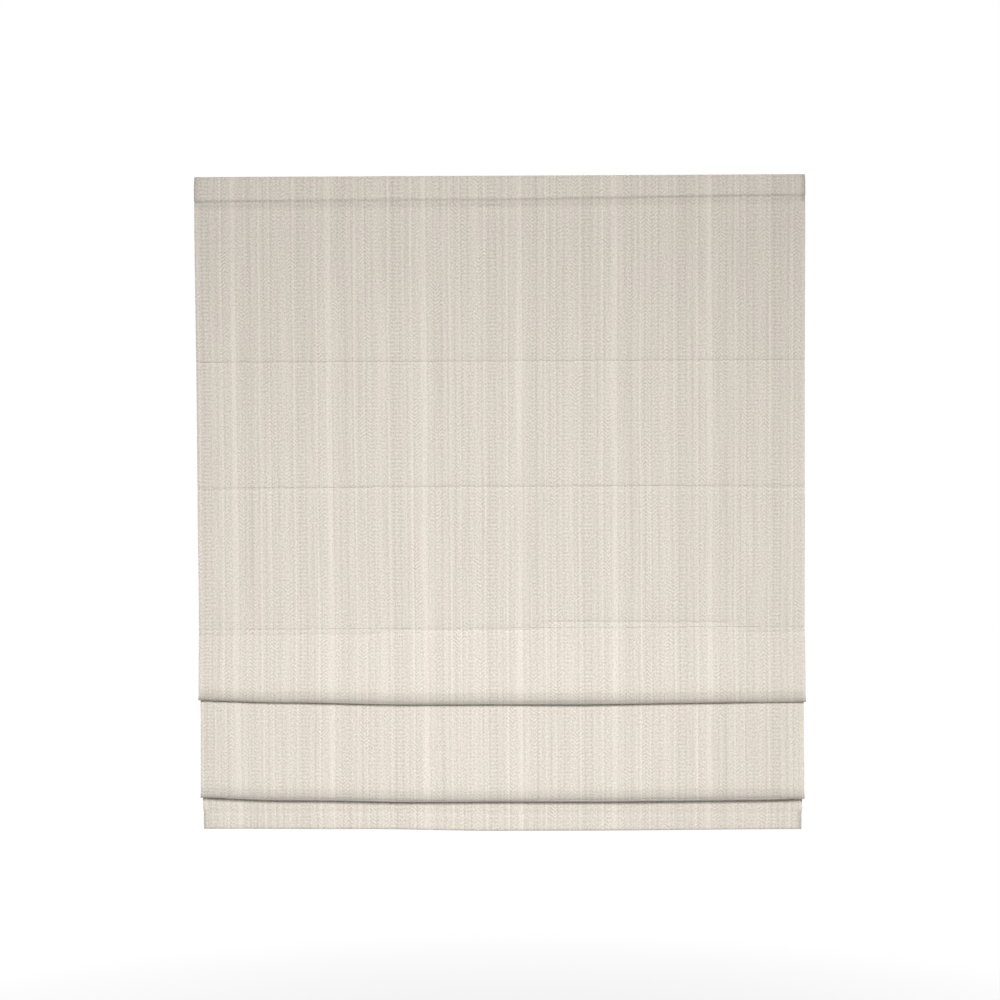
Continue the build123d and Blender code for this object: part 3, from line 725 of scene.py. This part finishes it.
rib_3_keys = [
    (-0.300, -9.0), (-0.190, -8.0), (-0.140, -3.0), (0.050, -2.5),
    (0.068, 7.5), (0.300, 6.0), (0.318, 5.0), (0.336, -7.5),
]
header_slope = [(-half_width, 2.0 * mm), (0, 1.0 * mm), (half_width, -3.2 * mm)]
header_pull = [
    (-0.400, 1.9 * mm), (-0.340, 1.5 * mm), (-0.200, 0.9 * mm), (-0.020, 0.8 * mm),
    (0.080, 1.6 * mm), (0.340, 1.5 * mm), (0.400, 0.9 * mm),
]
header_roll = 4.8 * mm
rib_pull = {1: 1.0, 2: 1.3, 3: 1.9}
Crease = namedtuple("Crease", "x along reach_x reach_along depth")
creases = [
    Crease(-0.014, spots["header"] + 7 * mm, 13 * mm, 5 * mm, 1.5 * mm),
    Crease(-0.385, small_crease, 24 * mm, 2.6 * mm, 0.9 * mm),
    Crease(-0.394, spots["hem_top"] + 4 * mm, 2.6 * mm, 10 * mm, 1.0 * mm),
]


def stitch_wander(number, x):
    """How far a rib's stitch line rises or falls on the front, across the width."""
    if number == 3:
        return between(rib_3_keys, x) * mm
    if number == 2:
        arch = -3.5 * (x / half_width) ** 2 * mm
        return arch + noise.noise(Vector((x * 9, 2, 0))) * 0.8 * mm
    return noise.noise(Vector((x * 7, number, 0))) * 0.8 * mm


def header_line(x):
    """Distance along the cloth of the header's stitched edge: it runs a little uphill."""
    return header_stitch + between(header_slope, x)


def header_dent(x, along):
    """The header's roll towards the room, and the step back under its stitch line."""
    gap = along - header_line(x)
    if gap > 60 * mm:
        return 0.0
    roll = math.sin(math.pi / 2 * min(max((along - top_fold) / (14 * mm), 0.0), 1.0))
    step_back = 0.35 * smooth(-2 * mm, 1 * mm, gap) + 0.65 * smooth(-1 * mm, 12 * mm, gap)
    pull = between(header_pull, x) * smooth(-1.5 * mm, 1.2 * mm, gap) * bell(max(gap, 0), 22 * mm)
    return pull - header_roll * roll * (1 - step_back)


def dent(x, along):
    """Depth of the roll, the stitch lines and the creases, positive towards the window."""
    depth = header_dent(x, along)
    for number, spot in enumerate(rib_spots, start=1):
        away = along - spot + stitch_wander(number, x)
        if abs(away) < 20 * mm:
            sharp, soft = 0.6 * mm * bell(away, 1.7 * mm), 0.4 * mm * bell(away, 7 * mm)
            depth += rib_pull[number] * (sharp + soft)
    away = along - hem_stitch
    if abs(away) < 20 * mm:
        depth += 0.5 * mm * bell(away, 3.2 * mm)
    for crease in creases:
        away = along - crease.along
        if abs(away) < 3 * crease.reach_along:
            across_share = bell(x - crease.x, crease.reach_x)
            depth += crease.depth * across_share * bell(away, crease.reach_along)
    return depth


print("header stitch at", round(header_stitch, 4))

# %% Waves, sag and side edges
sag_by_spot = [
    (spots["rib_3"], 0), (spots["lip_a"], 1), (spots["crown_a"], 0), (spots["lip_b"], 1),
    (spots["crown_b"], 0), (spots["end"], 0),
]
lift_keys = [
    (-half_width, 5.0 * mm), (-0.30, 1.5 * mm), (-0.10, -2.0 * mm), (0.12, -2.2 * mm),
    (half_width, -0.8 * mm),
]
hem_keys = [
    (-half_width, 1.5 * mm), (-0.20, 0.3 * mm), (0.0, -3.0 * mm), (0.20, -3.2 * mm),
    (half_width, -2.9 * mm),
]
pull_keys = [(-0.90, 5.0), (-0.80, 4.0), (-0.60, 1.4), (-0.45, 0.6), (-0.20, 0.0), (0.0, 0.0)]


def waves(x, along):
    """Soft waves in the cloth's depth."""
    broad = noise.noise(Vector((x * 4.0, along * 2.6, 3.1))) * 1.3 * mm
    small = noise.noise(Vector((x * 13.0, along * 6.0, 8.7))) * 0.35 * mm
    calm = smooth(top_fold, spots["header"] + 60 * mm, along)
    calm *= 1 - smooth(spots["hem_top"] - 40 * mm, spots["hem_top"], along) * 0.7
    return (broad + small) * (0.15 + 0.85 * calm)


def sag(x, along):
    """How far the cloth is lifted or sags, along z."""
    hem_share = smooth(spots["crown_b"], spots["hem_top"], along)
    return between(lift_keys, x) * between(sag_by_spot, along) + between(hem_keys, x) * hem_share


def side_pull(z, along):
    """How far each side edge is drawn in, less the flare at the ends of the pleats."""
    pulled = between(pull_keys, z) * mm
    for lip in ("lip_a", "lip_b"):
        pulled -= 2.4 * mm * bell(along - spots[lip], 12 * mm)
    return pulled


def cloth_point(x, depth, row):
    """Where a point of the cloth is, a depth behind the face fabric's middle."""
    moved = depth + dent(x, row.along) + waves(x, row.along)
    narrow = 1 - side_pull(row.z, row.along) / half_width
    height = row.z + row.back_z * moved + sag(x, row.along)
    return Vector((x * narrow, row.y + row.back_y * moved, height))


print("middle of rib 1", [round(v, 4) for v in cloth_point(0.0, 0.0, row_at(spots["rib_1"]))])


# %% [markdown]
# ## Making a strip of cloth
#
# A strip is a plain grid whose corners are moved to their places, which keeps its faces in
# neat rows and lets each corner write its own place on the cut cloth into the map. The
# Solidify modifier then gives it the thickness of real cloth.


# %% Cloth strips
Column = namedtuple("Column", "x depth across")


def lay_grid(bm, columns, rows):
    """Lays one grid of cloth, with a column per place across and a row per place along."""
    wide, long = len(columns) - 1, len(rows) - 1
    laid = bmesh.ops.create_grid(bm, x_segments=wide, y_segments=long, size=0.5)
    cloth_uv = bm.loops.layers.uv.get("cloth") or bm.loops.layers.uv.new("cloth")
    home = {}
    for vert in laid["verts"]:
        column = columns[round((vert.co.x + 0.5) * wide)]
        row = rows[round((vert.co.y + 0.5) * long)]
        home[vert] = (column, row)
    for vert, (column, row) in home.items():
        vert.co = cloth_point(column.x, column.depth, row)
    for face in {face for vert in laid["verts"] for face in vert.link_faces}:
        for loop in face.loops:
            column, row = home[loop.vert]
            loop[cloth_uv].uv = (column.across, row.along)


def add_piece(name, bm, *materials):
    """Turns a bmesh into a piece with its finishes, smoothly shaded."""
    mesh = bpy.data.meshes.new(name)
    bm.to_mesh(mesh)
    bm.free()
    for material in materials:
        mesh.materials.append(material)
    mesh.shade_smooth()
    piece = bpy.data.objects.new(name, mesh)
    bpy.context.scene.collection.objects.link(piece)
    return piece


def thicken(piece, thickness):
    """Gives a strip of cloth its thickness, half to each side."""
    solid = piece.modifiers.new("thickness", "SOLIDIFY")
    solid.thickness = thickness
    solid.offset = 0.0


face_thickness = 0.7 * mm
hem_layer = 0.85 * mm
edge_x = half_width - hem_layer / 2


def steps(start, stop, count):
    """Evenly spaced numbers, both ends included."""
    return [start + (stop - start) * i / count for i in range(count + 1)]


flat_columns = [Column(x, 0.0, x) for x in steps(-edge_x, edge_x, 92)]
print("columns", len(flat_columns))


# %% [markdown]
# ## Turned side hems
#
# Down each side the cloth is folded back on itself for 38 mm, so the edge is a soft round
# turn and the back shows a band of the face fabric beside the lining. A half circle of
# columns makes the turn, and the band follows it flat behind the face.


# %% Side hem columns
def hem_columns(side):
    """Columns that turn round a side edge and run back in behind the face."""
    turned = []
    for angle in steps(0, math.pi, 6):
        out = math.sin(angle) * hem_layer / 2
        back = (1 - math.cos(angle)) * hem_layer / 2
        turned.append(Column(side * (edge_x + out), back, side * (edge_x + angle * hem_layer / 2)))
    for inward in (3, 9, 16, 24, 31, 36.5, 38):
        inside = edge_x - inward * mm
        on_cloth = edge_x + 1.3 * mm + inward * mm
        turned.append(Column(side * inside, hem_layer, side * on_cloth))
    return turned if side > 0 else turned[::-1]


left_hem, right_hem = hem_columns(-1), hem_columns(1)
print("hem columns", len(left_hem))

# %% [markdown]
# ## Which length of cloth moves with which rib
#
# When the blind is raised, each rib climbs to the one above and the cloth between them
# folds. The upper half of each length stays with the rib above, and the lower half turns
# from one to the other. In the last two pleats the cloth already doubles back, so the front
# and the back of a pleat are pieces of their own.
#
# A length that hangs between two ribs is left where it is drawn, and the last two numbers of
# its line are the heights above which it would follow its upper rib and below which its lower
# one. A length with a single rib moves with that rib.

# %% Lengths of cloth
Length = namedtuple("Length", "name start stop upper lower from_z to_z")
lengths = [
    Length("1", "top", "rib_1", "headrail", "rib_1", -0.145, -0.2535),
    Length("2", "rib_1", "rib_2", "rib_1", "rib_2", -0.340, -0.4265),
    Length("3", "rib_2", "rib_3", "rib_2", "rib_3", -0.524, -0.6215),
    Length("4_front", "rib_3", "lip_a", "rib_3", "rib_4", -0.650, -0.779),
    Length("4_back", "lip_a", "crown_a", "rib_3", "rib_4", -0.753, -0.7048),
    Length("5_front", "crown_a", "lip_b", "rib_4", None, 0, 0),
    Length("5_back", "lip_b", "crown_b", "rib_4", "bottom", -0.8600, -0.7208),
    Length("6", "crown_b", "end", "bottom", None, 0, 0),
]


def move_with(piece, length):
    """Ties a piece to its rib when its length has only one, and otherwise leaves it in place."""
    if length.lower:
        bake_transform(piece)
    else:
        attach(piece, length.upper)


print("lengths", [length.name for length in lengths])

# %% Face fabric
hems_from = spots["header"]
hems_to = spots["hem_top"]
for length in lengths:
    start, stop = spots[length.start], spots[length.stop]
    rows = rows_between(start, stop)
    bm = bmesh.new()
    lay_grid(bm, flat_columns, rows)
    hem_rows = [row for row in rows if hems_from - 1e-6 <= row.along <= hems_to + 1e-6]
    lay_grid(bm, left_hem, hem_rows)
    lay_grid(bm, right_hem, hem_rows)
    bmesh.ops.remove_doubles(bm, verts=bm.verts, dist=0.02 * mm)
    piece = add_piece(f"face_cloth_{length.name}", bm, face_weave)
    thicken(piece, face_thickness)
    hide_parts("face_fabric")
    move_with(piece, length)

# %% [markdown]
# ## Lining
#
# The lining is a second, narrower length of plain cloth, sewn on over the side hems from
# the foot of the header to the top of the bottom hem. It follows the face fabric's rows a
# little further back, so the two can never cross.

# %% Lining
lining_half = half_width - 20 * mm
lining_depth = 1.45 * mm
lining_columns = [Column(x, lining_depth, x) for x in steps(-lining_half, lining_half, 60)]
for length in lengths:
    start = max(spots[length.start], hems_from)
    stop = min(spots[length.stop], hems_to)
    bm = bmesh.new()
    lay_grid(bm, lining_columns, rows_between(start, stop, 12 * mm))
    piece = add_piece(f"lining_cloth_{length.name}", bm, lining_cloth)
    thicken(piece, 0.3 * mm)
    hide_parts("lining")
    move_with(piece, length)
print("lining from", round(hems_from, 3), "to", round(hems_to, 3))

# %% [markdown]
# ## Rib pockets
#
# Each rib is a rod in a sleeve of lining cloth, sewn flat along its two edges. The sleeve
# puckers a little between stitches. Its profile is drawn once around the rod and laid
# along the whole width. Like the CAD model, it leans with the cloth at its rib, so places
# near a rib are given as a depth behind the cloth and a drop along it.

# %% Rib pockets
pocket_half = half_width - 27 * mm
pocket_columns = 150
rod_drop = -7.0
pocket_profile = [
    (1.85, -0.6), (1.85, -1.6), (2.1, -2.3), (3.1, -3.9), (4.3, -4.45), (5.6, -4.9), (6.45, -5.9),
    (6.72, -7.0), (6.45, -8.1), (5.6, -9.1), (4.3, -9.55), (3.1, -10.1), (2.1, -11.7),
    (1.85, -12.4), (1.85, -13.4),
]
RibLine = namedtuple("RibLine", "y z lean")
rib_lines = {
    1: RibLine(-15.1, -253.5, 0.0116),
    2: RibLine(-13.1, -426.5, 0.0128),
    3: RibLine(-10.6, -621.5, 0.0),
    4: RibLine(-8.53, -704.75, 0.0),
    5: RibLine(-3.03, -720.75, 0.0091),
}


def rib_point(number, depth, drop):
    """A point near a rib's stitch line, from a depth and a drop in mm."""
    line = rib_lines[number]
    y = line.y + depth * math.cos(line.lean) - drop * math.sin(line.lean)
    z = line.z + depth * math.sin(line.lean) + drop * math.cos(line.lean)
    return Vector((y * mm, z * mm))


def rib_body(number):
    """The body that a rib moves with."""
    return "bottom" if number == 5 else f"rib_{number}"


for number in rib_lines:
    bm = bmesh.new()
    long = len(pocket_profile) - 1
    laid = bmesh.ops.create_grid(bm, x_segments=pocket_columns, y_segments=long, size=0.5)
    cloth_uv = bm.loops.layers.uv.new("cloth")
    for vert in laid["verts"]:
        x = vert.co.x * 2 * pocket_half
        depth, drop = pocket_profile[round((vert.co.y + 0.5) * long)]
        pucker = noise.noise(Vector((x * 60, drop * 0.4, number))) * 0.22
        pucker += math.sin(x / (4.2 * mm)) * 0.05
        place = rib_point(number, depth + pucker * smooth(1.8, 4, depth), drop)
        vert.co = (x, place.x, place.y)
    for face in bm.faces:
        for loop in face.loops:
            loop[cloth_uv].uv = (loop.vert.co.x, loop.vert.co.z + loop.vert.co.y)
    piece = add_piece(f"rod_sleeve_{number}", bm, lining_cloth)
    thicken(piece, 0.35 * mm)
    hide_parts(f"rib_pocket_{number}")
    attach(piece, rib_body(number))
print("sleeves", len(rib_lines))

# %% [markdown]
# ## Stitches
#
# A stitch is a short piece of thread that dips into the cloth at both ends. One low round
# bead, drawn out along the seam and repeated, reads as sewing at any distance, and costs
# only a few faces.


# %% Stitch helper
def sew(places, length, thickness):
    """A mesh with a stitch at each place."""
    bm = bmesh.new()
    for place in places:
        bead = bmesh.ops.create_uvsphere(bm, u_segments=6, v_segments=4, radius=1.0)["verts"]
        bmesh.ops.scale(bm, vec=(length / 2, thickness * 0.7, thickness), verts=bead)
        bmesh.ops.translate(bm, vec=place, verts=bead)
    return bm


def seam_places(line_of, spacing, depth, reach):
    """Places across the width on a line that may wander along the cloth."""
    count = round(2 * reach / spacing)
    return [cloth_point(x, depth, row_at(line_of(x))) for x in steps(-reach, reach, count)]


def hem_line(x):
    """Distance along the cloth of the bottom hem's stitches."""
    return hem_stitch


def rib_line_of(number):
    """The line of a rib's stitches, as a function across the width."""
    return lambda x: rib_spots[number - 1] - stitch_wander(number, x) - 0.2 * mm


seam_reach = half_width - 6 * mm
header_seam = sew(seam_places(header_line, 4.2 * mm, -0.38 * mm, seam_reach), 2.9 * mm, 0.26 * mm)
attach(add_piece("header_stitches", header_seam, sewing_thread), "headrail")
hem_seam = sew(seam_places(hem_line, 4.2 * mm, -0.36 * mm, seam_reach), 2.6 * mm, 0.22 * mm)
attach(add_piece("hem_stitches", hem_seam, sewing_thread), "bottom")
for number in (1, 2, 3):
    places = seam_places(rib_line_of(number), 5.0 * mm, -0.34 * mm, pocket_half)
    rib_seam = sew(places, 2.2 * mm, 0.2 * mm)
    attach(add_piece(f"rib_stitches_{number}", rib_seam, sewing_thread), f"rib_{number}")
print("front seams sewn")

# %% [markdown]
# ## Lift cords
#
# Three braided cords run from the motor, over the guides and down through the rings to a
# small drop-shaped orb. Between two ribs a cord shortens as the blind is raised, so each
# stretch between two ribs is a piece of its own.

# %% Lift cords
cord_radius = 0.7 * mm
cord_xs = (-0.340, 0.0, 0.340)
cord_top = Vector((-2.6, -20)) * mm
cord_foot = Vector((7.6, -737.25)) * mm
rail_underside = -0.034


def tube(name, route, radius):
    """A round cord along a route, as a mesh, with soft corners."""
    curve = bpy.data.curves.new(name, "CURVE")
    curve.dimensions = "3D"
    curve.bevel_depth = radius
    curve.bevel_resolution = 3
    spline = curve.splines.new("NURBS")
    spline.points.add(len(route) - 1)
    for point, place in zip(spline.points, route):
        point.co = (*place, 1)
    spline.order_u = 3
    spline.use_endpoint_u = True
    spline.resolution_u = 6
    drawn = bpy.data.objects.new(name, curve)
    mesh = bpy.data.meshes.new_from_object(drawn)
    bpy.data.objects.remove(drawn)
    bpy.data.curves.remove(curve)
    return mesh


def join_tubes(name, meshes, material):
    """Several meshes as one piece."""
    bm = bmesh.new()
    for mesh in meshes:
        bm.from_mesh(mesh)
        bpy.data.meshes.remove(mesh)
    return add_piece(name, bm, material)


def cord_at(z):
    """Where a hanging cord is at a height."""
    return cord_top.lerp(cord_foot, (z - cord_top.y) / (cord_foot.y - cord_top.y)).x


def follow_cords():
    """Hides the CAD lift cords that the cord pieces replace."""
    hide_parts("lift_cord_left", "lift_cord_center", "lift_cord_right")


motor_ends = {-0.340: (0.0615, -0.013), 0.0: (0.0615, -0.0026), 0.340: (0.1885, -0.0026)}
runs = []
for x in cord_xs:
    end_x, end_y = motor_ends[x]
    toward = 1 if end_x > x else -1
    run_y, run_z = -2.6 * mm, -20 * mm
    runs.append(tube("run", [
        (x, cord_at(rail_underside), rail_underside),
        (x, cord_at(-0.024), -0.026),
        (x + toward * 0.4 * mm, run_y, run_z - 0.6 * mm),
        (x + toward * 5 * mm, run_y, run_z),
        (x + toward * 20 * mm, run_y + (end_y - run_y) * 0.1, run_z),
        (end_x, end_y, run_z),
    ], cord_radius))
piece = join_tubes("cord_runs", runs, cord_braid)
follow_cords()
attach(piece, "headrail")


def hanging_cords(name, top_z, foot_z, count):
    """The three cords between two heights, as one piece."""
    drops = []
    for x in cord_xs:
        route = [(x, cord_at(z), z) for z in steps(top_z, foot_z, count)]
        drops.append(tube("drop", route, cord_radius))
    piece = join_tubes(name, drops, cord_braid)
    follow_cords()
    return piece


ring_depth = 13.31
ring_heights = [rib_point(number, ring_depth, rod_drop).y for number in rib_lines]
chain = ["headrail", "rib_1", "rib_2", "rib_3", "rib_4", "bottom"]
tops = [rail_underside] + ring_heights[:-1]
for upper, lower, top_z, foot_z in zip(chain, chain[1:], tops, ring_heights):
    piece = hanging_cords(f"cords_to_{lower}", top_z, foot_z, 8)
    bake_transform(piece)
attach(hanging_cords("cord_ends", ring_heights[-1], cord_foot.y, 2), "bottom")
print("cord drop", round(-cord_foot.y, 3))

# %% [markdown]
# ## Ring ties
#
# Each ring is tied to its sleeve with a few turns of thread. A turn is a small ring of
# thread, spun from a circle, that holds the ring's wire and the sleeve together.


# %% Ring ties
def thread_turn(bm, centre, reach, thickness):
    """A closed turn of thread round two things that touch."""
    ring = bmesh.ops.create_circle(bm, segments=6, radius=thickness)["verts"]
    edges = list({edge for vert in ring for edge in vert.link_edges})
    bmesh.ops.translate(bm, vec=(0, reach, 0), verts=ring)
    before = set(bm.verts) - set(ring)
    bmesh.ops.spin(
        bm, geom=ring + edges, cent=(0, 0, 0), axis=(1, 0, 0), angle=math.tau, steps=14,
        use_merge=True,
    )
    turn = [vert for vert in bm.verts if vert not in before]
    bmesh.ops.translate(bm, vec=centre, verts=turn)


knot_depth = 7.0
for number in rib_lines:
    bm = bmesh.new()
    knot = rib_point(number, knot_depth, rod_drop)
    for x in cord_xs:
        for offset in (-0.9, -0.3, 0.3, 0.9):
            thread_turn(bm, (x + offset * mm, knot.x, knot.y), 2.15 * mm, 0.2 * mm)
    bmesh.ops.recalc_face_normals(bm, faces=bm.faces)
    tie = add_piece(f"ring_ties_{number}", bm, lining_thread)
    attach(tie, rib_body(number))
print("ties", len(cord_xs) * len(rib_lines))
